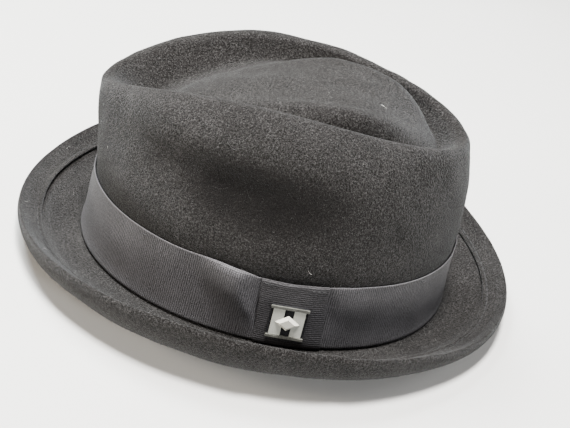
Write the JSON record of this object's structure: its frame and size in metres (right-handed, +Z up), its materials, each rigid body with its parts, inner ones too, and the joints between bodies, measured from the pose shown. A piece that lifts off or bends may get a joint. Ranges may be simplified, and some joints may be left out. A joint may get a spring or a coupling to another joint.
{
  "type": "felt trilby hat",
  "caption": "Stingy-brim black wool felt hat with a teardrop crown, a ribbon band with a cross tab and a small square metal pin, and a sewn sweatband inside.",
  "frame": {"origin": "on the table that the brim stands on, under the middle of the hat's bounding box", "axes": "+Z up, the front of the hat toward -Y and the wearer's right toward -X"},
  "size_m": [0.235, 0.285, 0.118],
  "materials": {
    "black_wool_felt": "matt fulled wool felt with a soft nap",
    "black_grosgrain_ribbon": "ribbed ribbon with a low sheen",
    "black_thread": "twisted sewing thread",
    "satin_steel": "satin",
    "black_enamel": "gloss black",
    "sweatband_cloth": "ribbed cotton band",
    "sweatband_thread": "twisted sewing thread",
    "label_satin": "blank woven satin"
  },
  "bodies": {
    "hat": {"felt_body": "black_wool_felt", "hat_band": "black_grosgrain_ribbon", "band_tab": "black_grosgrain_ribbon", "welt_stitching": "black_thread", "tab_stitching": "black_thread", "band_tacks": "black_thread", "pin_left_panel": "satin_steel", "pin_right_panel": "satin_steel", "pin_top_rail": "satin_steel", "pin_bottom_rail": "satin_steel", "pin_stud": "satin_steel", "pin_prongs": "satin_steel", "pin_plate": "black_enamel", "pin_centre_stripe": "black_enamel", "sweatband": "sweatband_cloth", "sweatband_reed": "sweatband_cloth", "sweatband_seam_tape": "sweatband_cloth", "sweatband_bow": "sweatband_cloth", "sweatband_stitching": "sweatband_thread", "seam_thread": "sweatband_thread"},
    "size_label": {"size_label": "label_satin"}
  },
  "joints": [
    {"name": "size_label_hinge", "type": "hinge", "parent": "hat", "child": "size_label", "pos_m": [0, 0.09793, 0.01034], "axis": [1, 0, 0], "range_deg": [0, 90], "stiffness_Nm_per_rad": 0.00004, "springref_deg": -5.73}
  ]
}
